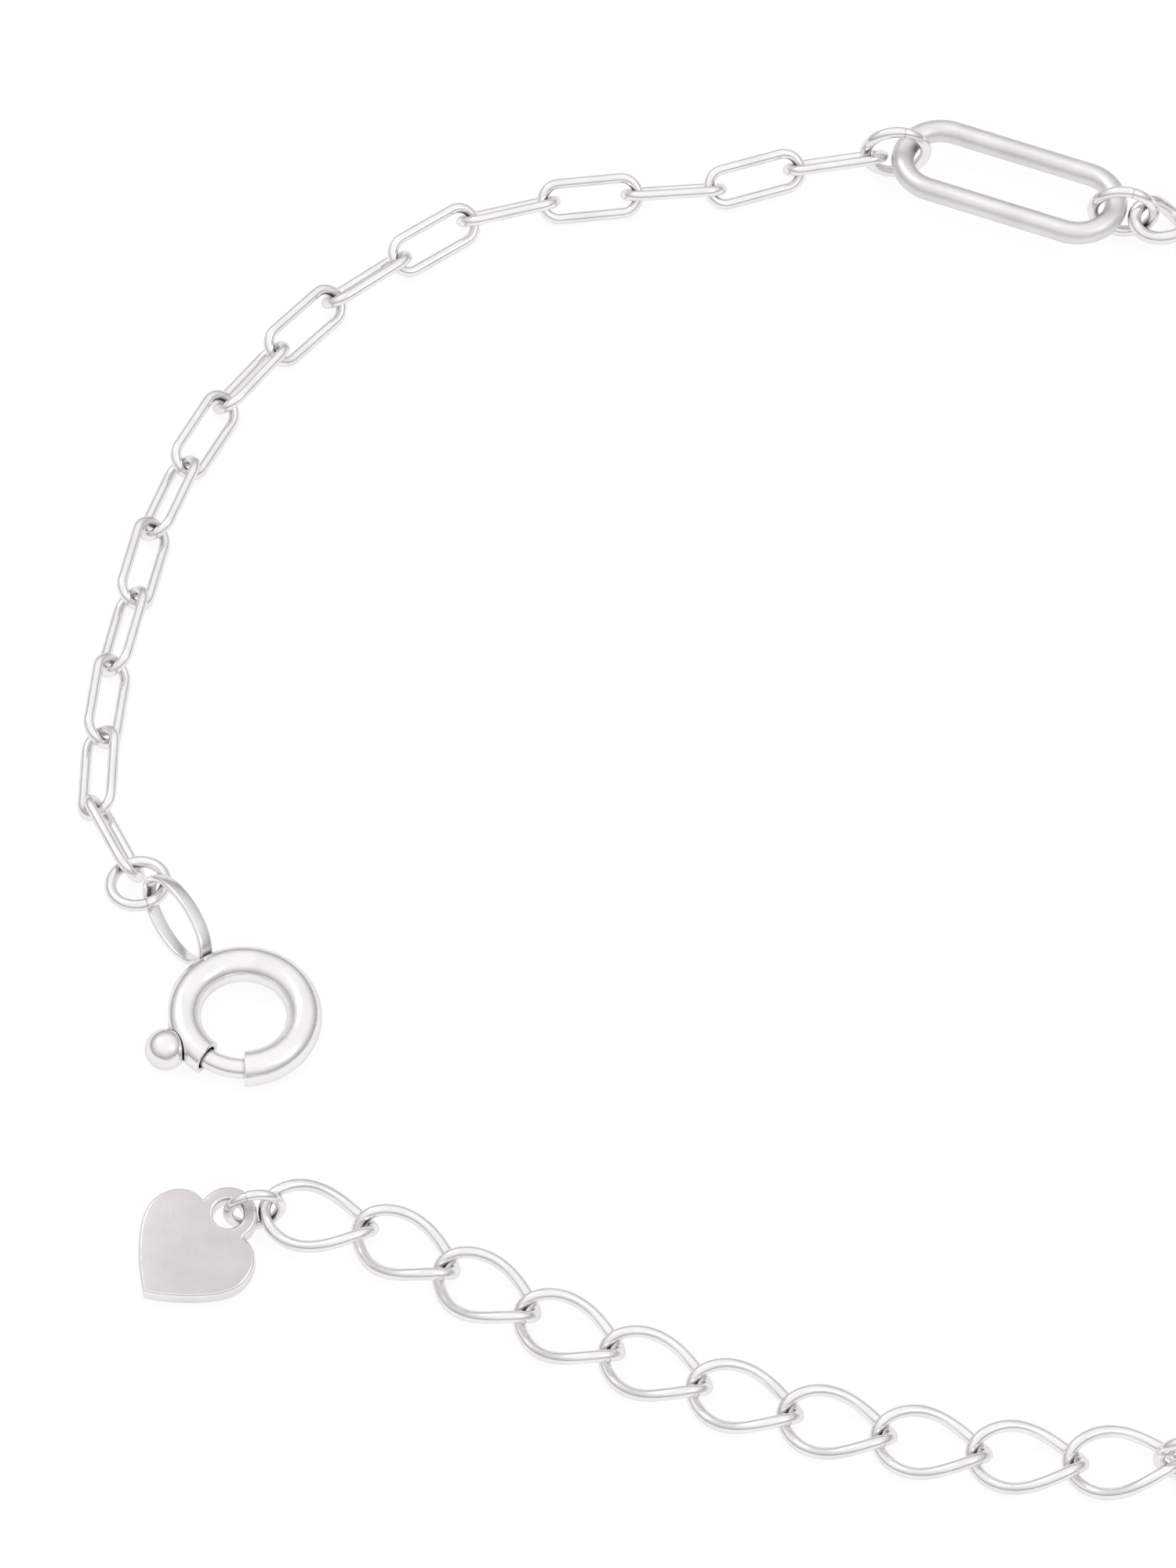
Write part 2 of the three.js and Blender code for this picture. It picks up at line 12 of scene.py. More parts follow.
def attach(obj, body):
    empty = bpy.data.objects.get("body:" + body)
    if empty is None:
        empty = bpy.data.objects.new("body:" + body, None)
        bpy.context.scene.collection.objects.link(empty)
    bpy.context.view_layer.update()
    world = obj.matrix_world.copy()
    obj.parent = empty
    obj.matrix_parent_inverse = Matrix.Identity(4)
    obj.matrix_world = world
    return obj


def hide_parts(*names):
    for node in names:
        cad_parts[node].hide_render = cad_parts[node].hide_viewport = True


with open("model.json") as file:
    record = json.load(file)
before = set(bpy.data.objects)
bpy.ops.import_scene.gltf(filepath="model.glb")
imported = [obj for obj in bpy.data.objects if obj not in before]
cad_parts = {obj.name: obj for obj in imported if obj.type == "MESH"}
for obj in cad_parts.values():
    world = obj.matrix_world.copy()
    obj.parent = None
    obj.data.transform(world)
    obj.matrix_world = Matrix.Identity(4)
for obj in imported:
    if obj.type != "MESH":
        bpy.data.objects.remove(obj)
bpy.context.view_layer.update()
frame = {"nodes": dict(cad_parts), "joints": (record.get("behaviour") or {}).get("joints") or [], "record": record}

MM = 0.001

# Outer sizes of the links and rings, and their wire
PAPERCLIP = {"length": 4.4 * MM, "width": 1.86 * MM, "wire": 0.42 * MM}
EXTENDER = {"length": 4.62 * MM, "width": 3.0 * MM, "wire": 0.46 * MM, "twist": math.radians(45)}
CURB = {"length": 3.05 * MM, "width": 2.25 * MM, "wire": 0.55 * MM, "twist": math.radians(45)}
LONG_LINK = {"length": 10.05 * MM, "width": 4.14 * MM, "wire": 0.93 * MM}
STATION_RING = {"length": 2.94 * MM, "width": 2.94 * MM, "wire": 0.45 * MM}
CLASP_RING = {"length": 2.62 * MM, "width": 2.62 * MM, "wire": 0.46 * MM}
EXTENDER_RING = {"length": 2.8 * MM, "width": 2.8 * MM, "wire": 0.45 * MM}
TAG_RING = {"length": 2.4 * MM, "width": 2.4 * MM, "wire": 0.4 * MM}

# How the curb chain's links meet
LINK_GAP = 0.12 * MM
RING_GAP = 0.24 * MM
SOLDER_DEPTH = 0.1 * MM
RING_DROP = 0.36 * MM
CURB_RISE = math.radians(18)
RIGHT_RING_HEADING = math.radians(-5)
EXTENDER_RING_HEADING = 0.0

# The clasp, in its own plane round the centre of its case
CASE_RADIUS = 2.32 * MM  # to the middle of the tube
CASE_TUBE = 0.68 * MM
CASE_BORE = 0.48 * MM
CASE_LIP = 0.04 * MM
BOLT_RADIUS = 0.39 * MM
KNOB_RADIUS = 0.8 * MM
KNOB_GAP = 0.06 * MM
KNOB_SINK = 0.48 * MM
STEM_RADIUS = 0.25 * MM
SLOT_HALF = 0.35 * MM
SLOT_BLUNT = 0.05  # radians left flat at the tips of the slot's round ends
MOUTH_LEFT = math.radians(234)
MOUTH_RIGHT = math.radians(272)
KNOB_ANGLE = math.radians(207.6)
KNOB_TRAVEL = math.radians(44)
BOLT_SEAT = math.radians(6)
BOLT_TAIL = math.radians(14)
HOLLOW_END = math.radians(120)
TAIL_ANGLE = math.radians(122)
TAIL_LEAN = math.radians(-24)
TAIL_LENGTH = 4.25 * MM
TAIL_HEIGHT = 2.3 * MM
TAIL_WIDTH = 0.6 * MM
TAIL_STRIP = 0.24 * MM
TAIL_ROUND = 0.1 * MM

# The heart tag, in its own plane round its hole
TAG_HOLE = {"x": -0.36 * MM, "y": -9.16 * MM, "z": 0.65 * MM}  # from the case's centre, over the floor
TAG_HEADING = math.radians(45)
TAG_THICKNESS = 0.8 * MM
TAG_HALF_WIDTH = 2.42 * MM
TAG_LENGTH = 4.18 * MM
TAG_HOLE_TO_TIP = 4.42 * MM
TAG_EAR = 1.1 * MM
TAG_HOLE_RADIUS = 0.58 * MM
TAG_ROUND = 0.14 * MM

# The right half of the heart from its tip, as shares of the half width and of the length
HEART_HALF = (
    {"side": 0, "up": 0},
    {"side": 0.31, "up": 0.1},
    {"side": 1, "up": 0.44},
    {"side": 1, "up": 0.67},
    {"side": 1, "up": 0.86},
    {"side": 0.8, "up": 1},
    {"side": 0.53, "up": 1},
    {"side": 0.3, "up": 1},
    {"side": 0.1, "up": 0.95},
    {"side": 0, "up": 0.85},
)

# The photograph's camera
IMAGE_HEIGHT_PX = 2000
FOCAL_PX = 10755.6
SENSOR = 36.0
CAMERA_ELEVATION = math.radians(54.5)
CAMERA_DISTANCE = 0.330
CAMERA_TARGET = Vector((-0.016337, 0.000203, 0.0))


# Frames and lines
def heading_of(angle, rise=0.0):
    flat = math.cos(rise)
    return Vector((flat * math.cos(angle), flat * math.sin(angle), math.sin(rise)))


def placement(centre, heading, rise, roll):
    """The frame of a piece whose length runs along a heading, rolled round it from lying flat."""
    forward = heading_of(heading, rise)
    left = heading_of(heading + math.pi / 2)
    width = left * math.cos(roll) + forward.cross(left) * math.sin(roll)
    return basis(centre, forward, width)


def basis(centre, forward, width):
    normal = forward.cross(width)
    matrix = Matrix((forward, width, normal)).transposed().to_4x4()
    matrix.translation = centre
    return matrix


def frame_of(node):
    """A looped wire's own frame from the CAD node: its length, its width and its plane's normal."""
    mesh = frame["nodes"][node].data
    corners = np.empty(len(mesh.vertices) * 3)
    mesh.vertices.foreach_get("co", corners)
    corners = np.unique(corners.reshape(-1, 3).round(7), axis=0)
    middle = corners.mean(0)
    axes = np.linalg.eigh(np.cov((corners - middle).T))[1]
    return basis(Vector(middle), Vector(axes[:, 2]), Vector(axes[:, 1]))


def unit(rows):
    return rows / np.linalg.norm(rows, axis=-1, keepdims=True)


def stadium_line(size, steps=72):
    """Two straight sides and two half circles, with its corners close together on the bends."""
    bend = (size["width"] - size["wire"]) / 2
    straight = (size["length"] - size["width"]) / 2
    turn = np.linspace(-math.pi / 2, math.pi / 2, steps // 3 + 1)
    end = np.stack((straight + bend * np.cos(turn), bend * np.sin(turn), 0 * turn), 1)
    share = np.linspace(0, 1, steps // 6 + 1)[1:-1]
    side = np.stack((straight * (1 - 2 * share), 0 * share + bend, 0 * share), 1)
    half = np.concatenate((end, side))
    return np.concatenate((half, half * (-1, -1, 1)))


def twisted_line(size, steps=72):
    """An oval whose plane turns along its length, as in curb and twisted chain."""
    turn = np.arange(steps) / steps * 2 * math.pi
    share = np.cos(turn)
    reach = (size["width"] - size["wire"]) / 2 * np.sin(turn)
    lean = -size["twist"] * share
    half = (size["length"] - size["wire"]) / 2
    return np.stack((half * share, reach * np.cos(lean), reach * np.sin(lean)), 1)


# Meshes
WIRE_CREASE = 40  # degrees between two faces that meet in a visible edge
CLASP_CREASE = 35
TAG_CREASE = 30


def new_mesh(name, points, faces, material):
    mesh = bpy.data.meshes.new(name)
    mesh.from_pydata([tuple(p) for p in points], [], faces)
    finish_mesh(mesh, material, WIRE_CREASE)
    return mesh


def finish_mesh(mesh, material, sharp):
    mesh.validate()
    mesh.polygons.foreach_set("use_smooth", [True] * len(mesh.polygons))
    mesh.set_sharp_from_angle(angle=math.radians(sharp))
    mesh.materials.clear()
    mesh.materials.append(material)
    mesh.update()


def add_piece(name, mesh, matrix, node, body="bracelet"):
    mesh = mesh.copy()
    mesh.transform(matrix)
    piece = bpy.data.objects.new(name, mesh)
    bpy.context.scene.collection.objects.link(piece)
    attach(piece, body)
    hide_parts(node)
    return piece


def band_faces(rows, sides, closed):
    """Quads between rows of corners, each row a closed ring of sides corners."""
    faces = []
    for row in range(rows if closed else rows - 1):
        for side in range(sides):
            here = row * sides
            after = ((row + 1) % rows) * sides
            beside = (side + 1) % sides
            faces.append((here + side, after + side, after + beside, here + beside))
    return faces


def carried_normals(points):
    """Normals carried along a closed line with as little turning as they can have."""
    ahead = unit(np.roll(points, -1, 0) - np.roll(points, 1, 0))
    helper = np.array((0.0, 0.0, 1.0))
    normal = unit(helper - ahead[0] * (helper @ ahead[0]))
    normals = [normal]
    for tangent in [*ahead[1:], ahead[0]]:
        normal = unit(normal - tangent * (normal @ tangent))
        normals.append(normal)
    side = np.cross(ahead[0], normals[0])
    leftover = math.atan2(normals[-1] @ side, normals[-1] @ normals[0])
    turned = []
    for index, tangent in enumerate(ahead):
        back = -leftover * index / len(points)
        across = np.cross(tangent, normals[index])
        turned.append(normals[index] * math.cos(back) + across * math.sin(back))
    return np.array(turned), np.cross(ahead, turned)


def closed_wire(points, radii, sides=20):
    """A round wire along a closed line, with a radius for each point or one for all."""
    normals, across = carried_normals(points)
    radii = np.broadcast_to(radii, len(points))[:, None, None]
    angle = np.arange(sides) / sides * 2 * math.pi
    circle = (
        normals[:, None, :] * np.cos(angle)[None, :, None]
        + across[:, None, :] * np.sin(angle)[None, :, None]
    )
    corners = (points[:, None, :] + radii * circle).reshape(-1, 3)
    return corners, band_faces(len(points), sides, True)


def wire_mesh(name, line, size, material, radii=None):
    half = size["wire"] / 2
    corners, faces = closed_wire(line, half if radii is None else half * radii)
    return new_mesh(name, corners, faces, material)


def joined(parts):
    """Several sets of corners and faces as one."""
    corners, faces, count = [], [], 0
    for part_corners, part_faces in parts:
        corners.append(np.asarray(part_corners))
        faces += [tuple(count + corner for corner in face) for face in part_faces]
        count += len(part_corners)
    return np.concatenate(corners), faces


def moved(corners, matrix):
    turn = np.array(matrix.to_3x3())
    return corners @ turn.T + np.array(matrix.translation)


# Materials
FILM_SCALE = 700
FILM_TONE = 0.93
FILM_FULL = 0.35  # noise at which the film is thickest
FILM_NONE = 0.6  # and at which there is none
MARK_DETAIL = 6
# Painted shade in the corners where wires touch: how far the occlusion node looks, and how dark those corners are
# painted
CORNER_SHADE_REACH = 0.35 * MM
CORNER_SHADE_FULL = 0.25  # share of open surroundings at which a corner is darkest
CORNER_SHADE_NONE = 0.75  # and at which it gets no painted shade
CORNER_SHADE_TONE = 0.35
SILVER_EDGE = (0.84, 0.83, 0.83, 1)  # how much of the light it keeps at a glancing angle


def new_material(name):
    material = bpy.data.materials.new(name)
    material.use_nodes = True
    nodes = material.node_tree.nodes
    links = material.node_tree.links
    return material, nodes, links, nodes["Principled BSDF"]


def add_noise(nodes, links, coordinates, scale, detail=4.0, stretch=(1, 1, 1)):
    mapping = nodes.new("ShaderNodeMapping")
    mapping.inputs["Scale"].default_value = stretch
    noise = nodes.new("ShaderNodeTexNoise")
    noise.inputs["Scale"].default_value = scale
    noise.inputs["Detail"].default_value = detail
    links.new(coordinates.outputs["Object"], mapping.inputs["Vector"])
    links.new(mapping.outputs["Vector"], noise.inputs["Vector"])
    return noise.outputs["Fac"]


def add_range(nodes, links, value, low, high, from_low=0.3, from_high=0.7):
    spread = nodes.new("ShaderNodeMapRange")
    spread.inputs["From Min"].default_value = from_low
    spread.inputs["From Max"].default_value = from_high
    spread.inputs["To Min"].default_value = low
    spread.inputs["To Max"].default_value = high
    links.new(value, spread.inputs["Value"])
    return spread.outputs["Result"]


def add_colour(nodes, links, value, low, high):
    mix = nodes.new("ShaderNodeMix")
    mix.data_type = "RGBA"
    mix.inputs["A"].default_value = (*low, 1)
    mix.inputs["B"].default_value = (*high, 1)
    links.new(value, mix.inputs["Factor"])
    return mix.outputs["Result"]


def add_bump(nodes, links, height, distance, strength, shader):
    bump = nodes.new("ShaderNodeBump")
    bump.inputs["Distance"].default_value = distance
    bump.inputs["Strength"].default_value = strength
    links.new(height, bump.inputs["Height"])
    links.new(bump.outputs["Normal"], shader.inputs["Normal"])


def add_painted_corner_shade(nodes, links, colour, tone, shader):
    """Painted shade: darker, duller silver in the corners where wires touch, found with an occlusion node."""
    corner = nodes.new("ShaderNodeAmbientOcclusion")
    corner.samples = 8
    corner.inputs["Distance"].default_value = CORNER_SHADE_REACH
    open_share = add_range(nodes, links, corner.outputs["AO"], 0, 1, CORNER_SHADE_FULL, CORNER_SHADE_NONE)
    mix = nodes.new("ShaderNodeMix")
    mix.data_type = "RGBA"
    mix.inputs["A"].default_value = (*(share * CORNER_SHADE_TONE for share in tone), 1)
    links.new(colour, mix.inputs["B"])
    links.new(open_share, mix.inputs["Factor"])
    links.new(mix.outputs["Result"], shader.inputs["Base Color"])


def silver_material(name, tone, rough, grain, bump):
    """Bare silver: a faint cloudy film over its tone, painted shade in the corners where wires touch, and handling
    marks in its gloss and surface.
    """
    material, nodes, links, shader = new_material(name)
    coordinates = nodes.new("ShaderNodeTexCoord")
    film = add_noise(nodes, links, coordinates, FILM_SCALE)
    marks = add_noise(nodes, links, coordinates, grain["scale"], MARK_DETAIL, grain["stretch"])
    dark = [share * FILM_TONE for share in tone]
    clean = add_range(nodes, links, film, 0, 1, FILM_FULL, FILM_NONE)
    # The base colour gets painted shade in the corners where wires touch
    add_painted_corner_shade(nodes, links, add_colour(nodes, links, clean, dark, tone), tone, shader)
    gloss = add_range(nodes, links, marks, rough["low"], rough["high"])
    links.new(gloss, shader.inputs["Roughness"])
    shader.inputs["Metallic"].default_value = 1.0
    shader.inputs["Specular Tint"].default_value = SILVER_EDGE
    add_bump(nodes, links, marks, bump["height"], bump["strength"], shader)
    return material


polished = silver_material(
    "polished_silver_finish",
    (0.87, 0.851, 0.856),
    {"low": 0.14, "high": 0.24},
    {"scale": 5200, "stretch": (1, 1, 1)},
    {"height": 0.004 * MM, "strength": 0.35},
)
soft = silver_material(
    "soft_silver_finish",
    (0.78, 0.762, 0.766),
    {"low": 0.4, "high": 0.5},
    {"scale": 4200, "stretch": (0.25, 1, 1)},
    {"height": 0.005 * MM, "strength": 0.35},
)
satin = silver_material(
    "satin_silver_finish",
    (0.62, 0.595, 0.59),
    {"low": 0.36, "high": 0.5},
    {"scale": 9000, "stretch": (1, 0.35, 1)},
    {"height": 0.012 * MM, "strength": 0.4},
)


# The chains
SEAM_DEPTH = 0.16  # of the groove where a ring's two ends meet, against the wire's radius
SEAM_HALF = 0.035 * MM
RING_STEPS = 72
LONG_STEPS = 120  # along the long link's line
CURB_STEPS = 56
CURB_SIDES = 16
REST_SAMPLES = 400  # round a curb link, to find its lowest wire
AHEAD = 0.01 * MM  # between the two points that give a curb link's heading


def seamed_ring(size, seam):
    """A ring's line with extra corners round its seam, and its wire's radius at each of them."""
    reach = (size["length"] - size["wire"]) / 2
    apart = SEAM_HALF / reach
    near = [-apart, -apart / 3, apart / 3, apart]
    rest = np.linspace(0, 2 * math.pi, RING_STEPS + 1)[1:-1]
    angle = np.concatenate((near, rest)) + seam
    radii = np.ones(len(angle))
    radii[1:3] = 1 - SEAM_DEPTH
    return np.stack((reach * np.cos(angle), reach * np.sin(angle), 0 * angle), 1), radii


RINGS = {
    "clasp_ring": CLASP_RING,
    "station_ring_left": STATION_RING,
    "station_ring_right": STATION_RING,
    "extender_ring": EXTENDER_RING,
    "tag_ring": TAG_RING,
}
SEAM_ANGLE = math.radians(75)


def add_link(node, mesh):
    return add_piece("silver_" + node, mesh, frame_of(node), node)


def add_chains():
    paperclip = wire_mesh("paperclip_wire", stadium_line(PAPERCLIP), PAPERCLIP, polished)
    twisted = wire_mesh("extender_wire", twisted_line(EXTENDER), EXTENDER, polished)
    for number in range(1, 17):
        add_link(f"paperclip_link_{number:02d}", paperclip)
    for number in range(1, 11):
        add_link(f"extender_link_{number:02d}", twisted)
    long_wire = wire_mesh("long_wire", stadium_line(LONG_LINK, LONG_STEPS), LONG_LINK, soft)
    add_link("long_link", long_wire)
    for node, size in RINGS.items():
        line, radii = seamed_ring(size, SEAM_ANGLE)
        add_link(node, wire_mesh(node + "_wire", line, size, polished, radii))


add_chains()


# The curb chain, on half an ellipse round the hidden side from one ring to the other
ARC_CORNERS = 4001
BISECTIONS = 40
NARROWEST_ARC = 0.5  # against a half circle
WIDEST_ARC = 1.5


def reach_of(size, following, drop=0.0):
    """From a loop's centre to the point where it meets the next wire."""
    gap = RING_GAP if drop > 0 else LINK_GAP
    apart = (size["wire"] + following["wire"]) / 2 + gap
    inside = (size["length"] - size["wire"]) / 2 - apart
    return math.sqrt(inside * inside - drop * drop) + apart / 2


def ring_exit(node, size, heading):
    centre = frame_of(node).translation
    point = centre + heading_of(heading) * reach_of(size, CURB, RING_DROP)
    return np.array((point.x, point.y))


def half_ellipse(start, end, bulge):
    """Its corners and how far along the curve each of them is."""
    across = start - end
    turn = math.atan2(across[1], across[0]) - math.pi / 2
    angle = np.linspace(math.pi / 2, -math.pi / 2, ARC_CORNERS)
    flat = np.stack((bulge * np.cos(angle), np.linalg.norm(across) / 2 * np.sin(angle)), 1)
    spin = np.array(((math.cos(turn), math.sin(turn)), (-math.sin(turn), math.cos(turn))))
    corners = flat @ spin + (start + end) / 2
    steps = np.linalg.norm(np.diff(corners, axis=0), axis=1)
    return corners, np.concatenate(([0.0], np.cumsum(steps)))


def curb_route(start, end):
    """The places along the arc of all the links, in the CAD's own spacing."""
    fused = CURB["length"] - 2 * CURB["wire"] + SOLDER_DEPTH
    loose = CURB["length"] - 2 * CURB["wire"] - 2 * LINK_GAP
    first, last = reach_of(CURB, STATION_RING), reach_of(CURB, EXTENDER_RING)
    round_bulge = np.linalg.norm(start - end) / 2
    plain = half_ellipse(start, end, round_bulge)[1][-1]
    count = round((plain - first - last) / fused) + 1
    wanted = first + last + (count - 2) * fused + loose
    narrow, wide = NARROWEST_ARC * round_bulge, WIDEST_ARC * round_bulge
    for _ in range(BISECTIONS):
        bulge = (narrow + wide) / 2
        if half_ellipse(start, end, bulge)[1][-1] < wanted:
            narrow = bulge
        else:
            wide = bulge
    corners, along = half_ellipse(start, end, wide)
    split = math.ceil(count / 2)
    slack = loose - fused
    places = [first + index * fused + (index >= split) * slack for index in range(count)]
    return corners, along, places, split


def add_curb_chain():
    start = ring_exit("station_ring_right", STATION_RING, RIGHT_RING_HEADING)
    end = ring_exit("extender_ring", EXTENDER_RING, EXTENDER_RING_HEADING)
    corners, along, places, split = curb_route(start, end)
    line = twisted_line(CURB, CURB_STEPS)
    link, faces = closed_wire(line, CURB["wire"] / 2, CURB_SIDES)
    rest = CURB["wire"] / 2 - twisted_line(CURB, REST_SAMPLES)[:, 2].min()
    halves = ([], [])
    for index, place in enumerate(places):
        point = [np.interp(place, along, corners[:, axis]) for axis in (0, 1)]
        near = [np.interp(place - AHEAD, along, corners[:, axis]) for axis in (0, 1)]
        heading = math.atan2(point[1] - near[1], point[0] - near[0])
        rise = CURB_RISE * ((index == len(places) - 1) - (index == 0))
        height = rest + abs(math.sin(rise)) * reach_of(CURB, STATION_RING)
        place_in_chain = placement(Vector((*point, height)), heading, rise, 0)
        halves[index >= split].append((moved(link, place_in_chain), faces))
    for number, half in enumerate(halves, 1):
        node = f"curb_chain_{number:02d}"
        mesh = new_mesh(node + "_wire", *joined(half), polished)
        add_piece("silver_" + node, mesh, Matrix.Identity(4), node)


add_curb_chain()


# The clasp
LIP_STEPS = 4  # round a rounded edge
CASE_STEPS = 120  # along the outside
BORE_STEPS = 40
BOLT_STEPS = 32
BOLT_END = 0.4  # of the bolt's rounded ends, against its radius


def clasp_frame():
    joint = frame["joints"][0]
    normal = -Vector(joint["axis"]).normalized()
    matrix = Vector((0, 0, 1)).rotation_difference(normal).to_matrix().to_4x4()
    matrix.translation = Vector(joint["pos_m"])
    return matrix


def bent_rings(stations, sides):
    """Rings of corners round the clasp's bent axis, one for each (angle, radius)."""
    turn = np.arange(sides) / sides * 2 * math.pi
    corners = []
    for angle, radius in stations:
        out = CASE_RADIUS + radius * np.cos(turn)
        ring = (out * math.cos(angle), out * math.sin(angle), radius * np.sin(turn))
        corners.append(np.stack(ring, 1))
    return np.concatenate(corners)


def bent_solid(stations, sides=40):
    corners = bent_rings(stations, sides)
    faces = band_faces(len(stations), sides, False)
    faces.append(tuple(range(sides)))
    faces.append(tuple(reversed(range(len(corners) - sides, len(corners)))))
    return corners, faces


def rounded_end(angle, radius, inwards, lip):
    """Stations of a rounded edge, from the tube's side to its end face."""
    rows = []
    for step in range(LIP_STEPS + 1):
        turn = math.pi / 2 * step / LIP_STEPS
        back = lip * (1 - math.sin(turn))
        rows.append((angle - inwards * back / CASE_RADIUS, radius - lip * (1 - math.cos(turn))))
    return rows


def case_stations():
    """From the socket in the right end, over the outside, into the long bore of the left end."""
    right, left = MOUTH_RIGHT, MOUTH_LEFT + 2 * math.pi
    socket = [(right + 2 * BOLT_SEAT, CASE_BORE), (right + CASE_LIP / CASE_RADIUS, CASE_BORE)]
    right_edge = [(right, CASE_BORE + CASE_LIP)]
    right_edge += reversed(rounded_end(right, CASE_TUBE, -1, CASE_LIP))
    outside = [(angle, CASE_TUBE) for angle in np.linspace(right, left, CASE_STEPS + 2)[1:-1]]
    left_edge = rounded_end(left, CASE_TUBE, 1, CASE_LIP)
    left_edge += [(left, CASE_BORE + CASE_LIP), (left - CASE_LIP / CASE_RADIUS, CASE_BORE)]
    bore_end = HOLLOW_END + 2 * math.pi
    bore = [(angle, CASE_BORE) for angle in np.linspace(left, bore_end, BORE_STEPS)[1:]]
    return socket + right_edge + outside + left_edge + bore


def slot_cutter():
    """A curved bar with round ends, which cuts the bolt's slot through the outer wall."""
    outer = CASE_RADIUS + CASE_TUBE
    start, end = KNOB_ANGLE - KNOB_TRAVEL, KNOB_ANGLE
    bow = SLOT_HALF / outer
    turns = np.linspace(SLOT_BLUNT, math.pi / 2, 8)
    rows = [(start - bow * math.cos(t), SLOT_HALF * math.sin(t)) for t in turns]
    rows += [(angle, SLOT_HALF) for angle in np.linspace(start, end, 16)[1:-1]]
    rows += [(end + bow * math.cos(t), SLOT_HALF * math.sin(t)) for t in reversed(turns)]
    near, far = CASE_RADIUS, outer + CASE_TUBE
    corners = []
    for angle, half in rows:
        for reach, height in ((near, -half), (far, -half), (far, half), (near, half)):
            corners.append((reach * math.cos(angle), reach * math.sin(angle), height))
    faces = band_faces(len(rows), 4, False)
    faces += [(0, 1, 2, 3), tuple(len(corners) - 1 - corner for corner in range(4))]
    return np.array(corners), faces


def tail_profile():
    """A rounded rectangle: the strip's thickness across and its width upwards."""
    corners = []
    for quarter, (across, up) in enumerate(((1, 1), (-1, 1), (-1, -1), (1, -1))):
        for step in range(LIP_STEPS + 1):
            turn = (quarter + step / LIP_STEPS) * math.pi / 2
            x = across * (TAIL_STRIP / 2 - TAIL_ROUND) + TAIL_ROUND * math.cos(turn)
            y = up * (TAIL_WIDTH / 2 - TAIL_ROUND) + TAIL_ROUND * math.sin(turn)
            corners.append((x, y))
    return corners


def tail_loop(steps=96):
    """The strip bent into a loop, standing on the case."""
    profile = tail_profile()
    long_half, short_half = (TAIL_LENGTH - TAIL_STRIP) / 2, (TAIL_HEIGHT - TAIL_STRIP) / 2
    corners = []
    for turn in np.arange(steps) / steps * 2 * math.pi:
        middle = Vector((long_half * math.cos(turn), short_half * math.sin(turn), 0))
        outwards = Vector((short_half * math.cos(turn), long_half * math.sin(turn), 0)).normalized()
        corners += [middle + outwards * x + Vector((0, 0, y)) for x, y in profile]
    centre = heading_of(TAIL_ANGLE) * (CASE_RADIUS + CASE_TUBE - SOLDER_DEPTH + TAIL_LENGTH / 2)
    place = placement(centre, TAIL_ANGLE, 0, math.pi / 2 - TAIL_LEAN)
    return moved(np.array(corners), place), band_faces(steps, len(profile), True)


def outwards(corners, faces):
    """The same solid as a bmesh whose faces all look outwards."""
    solid = bmesh.new()
    verts = [solid.verts.new(corner) for corner in corners]
    for face in faces:
        solid.faces.new([verts[corner] for corner in face])
    bmesh.ops.recalc_face_normals(solid, faces=solid.faces)
    return solid


def solid_object(name, corners, faces):
    mesh = bpy.data.meshes.new(name)
    solid = outwards(corners, faces)
    solid.to_mesh(mesh)
    solid.free()
    thing = bpy.data.objects.new(name, mesh)
    bpy.context.scene.collection.objects.link(thing)
    return thing


def combined(name, base, others):
    """The base solid with others cut from it or joined to it, as a mesh. Others are (solid, way)."""
    thing = solid_object(name, *base)
    helpers = []
    for number, (other, way) in enumerate(others):
        helper = solid_object(f"{name}_{number}", *other)
        boolean = thing.modifiers.new(way, "BOOLEAN")
        boolean.operation = way
        boolean.solver = "EXACT"
        boolean.object = helper
        helpers.append(helper)
    bpy.context.view_layer.update()
    evaluated = thing.evaluated_get(bpy.context.evaluated_depsgraph_get())
    mesh = bpy.data.meshes.new_from_object(evaluated)
    for spare in (thing, *helpers):
        bpy.data.objects.remove(spare)
    return mesh


def rod_stations(start, end, radius):
    """A bent rod with rounded ends."""
    rows = list(reversed(rounded_end(start, radius, -1, radius * BOLT_END)))
    rows += [(angle, radius) for angle in np.linspace(start, end, BOLT_STEPS)[2:-2]]
    rows += rounded_end(end, radius, 1, radius * BOLT_END)
    return rows


def ball(radius, centre, rows=32, sides=48):
    corners = [(0, 0, radius)]
    for row in range(1, rows):
        polar = math.pi * row / rows
        turn = np.arange(sides) / sides * 2 * math.pi
        reach, height = radius * math.sin(polar), radius * math.cos(polar)
        corners += [(reach * math.cos(t), reach * math.sin(t), height) for t in turn]
    corners.append((0, 0, -radius))
    faces = [tuple(1 + corner for corner in face) for face in band_faces(rows - 1, sides, False)]
    last = len(corners) - 1
    for side in range(sides):
        beside = (side + 1) % sides
        faces.append((0, 1 + side, 1 + beside))
        faces.append((last, last - sides + beside, last - sides + side))
    return np.array(corners) + np.array(centre), faces


def stem(sides=24):
    """The post between the bolt and its knob."""
    turn = np.arange(sides) / sides * 2 * math.pi
    near, far = CASE_RADIUS, CASE_RADIUS + CASE_TUBE + KNOB_RADIUS - KNOB_SINK
    corners = [(near, STEM_RADIUS * math.cos(t), STEM_RADIUS * math.sin(t)) for t in turn]
    corners += [(far, STEM_RADIUS * math.cos(t), STEM_RADIUS * math.sin(t)) for t in turn]
    faces = band_faces(2, sides, False)
    faces += [tuple(range(sides)), tuple(reversed(range(sides, 2 * sides)))]
    return moved(np.array(corners), Matrix.Rotation(KNOB_ANGLE, 4, "Z")), faces


def clearance(sides=40, steps=120):
    """The case's tube with the knob's gap round it."""
    stations = [(angle, CASE_TUBE + KNOB_GAP) for angle in np.arange(steps) / steps * 2 * math.pi]
    return bent_rings(stations, sides), band_faces(steps, sides, True)


